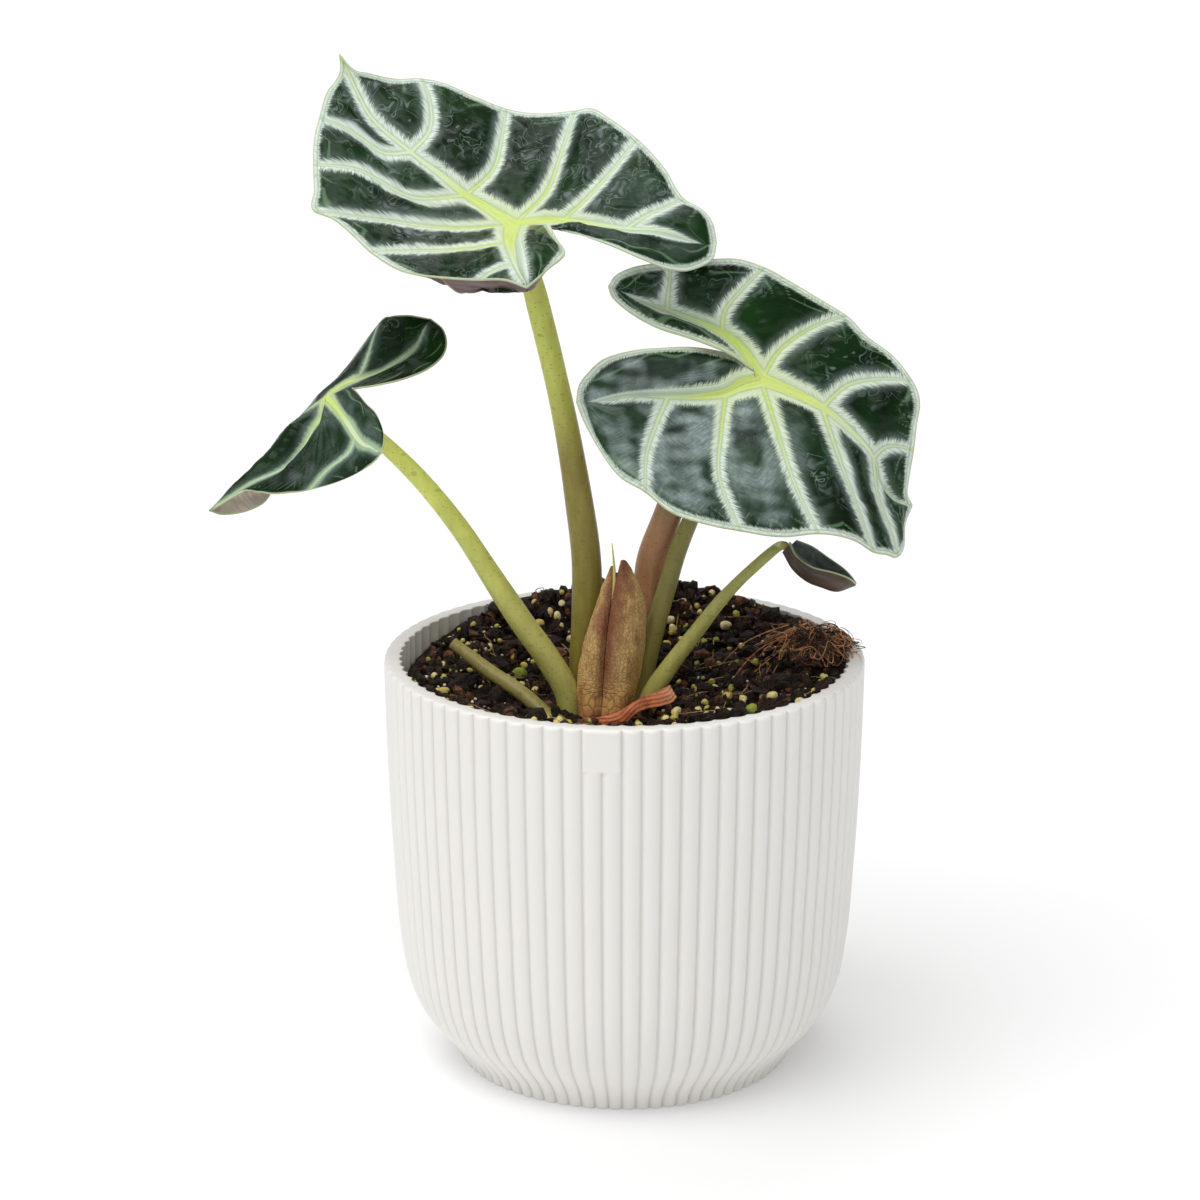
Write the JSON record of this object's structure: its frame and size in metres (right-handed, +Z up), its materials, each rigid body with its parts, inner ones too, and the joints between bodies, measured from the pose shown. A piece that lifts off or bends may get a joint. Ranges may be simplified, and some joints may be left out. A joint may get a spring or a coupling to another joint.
{
  "type": "potted house plant",
  "caption": "Alocasia with dark quilted arrow-shaped leaves, silver-green veins and olive stalks, growing in a ribbed round off-white pot with a drawn-in foot.",
  "frame": {"origin": "centre of the pot's flat underside, where the pot's axis meets the surface it stands on", "axes": "+Z up along the pot's axis; -Y is the side the picture was taken from; +X is to the right in it"},
  "size_m": [0.2033, 0.14, 0.2909],
  "materials": {
    "pot": "satin",
    "mix": "matte",
    "corm": "matte",
    "leaf": "gloss",
    "olive_stalk": "satin",
    "purple_stalk": "satin",
    "sheath": "matte",
    "young_leaf": "satin",
    "bract": "matte",
    "grit": "matte",
    "coir": "matte"
  },
  "bodies": {
    "root": {"pot": "pot", "potting_mix": "mix", "corm": "corm", "leaf_crown": "leaf", "leaf_right": "leaf", "leaf_left": "leaf", "leaf_back": "leaf", "leaf_low_right": "leaf", "petiole_crown": "olive_stalk", "petiole_left": "olive_stalk", "petiole_back": "olive_stalk", "petiole_low_right": "olive_stalk", "petiole_stub": "olive_stalk", "petiole_right": "purple_stalk", "sheath_right": "sheath", "sheath_left": "sheath", "new_leaf": "young_leaf", "dry_bract": "bract", "fibre_clump": "coir", "grit_01": "grit", "grit_02": "grit", "grit_03": "grit", "grit_04": "grit", "grit_05": "grit", "grit_06": "grit", "grit_07": "grit", "grit_08": "grit", "grit_09": "grit", "grit_10": "grit", "grit_11": "grit", "grit_12": "grit", "grit_13": "grit", "grit_14": "grit"}
  },
  "joints": []
}
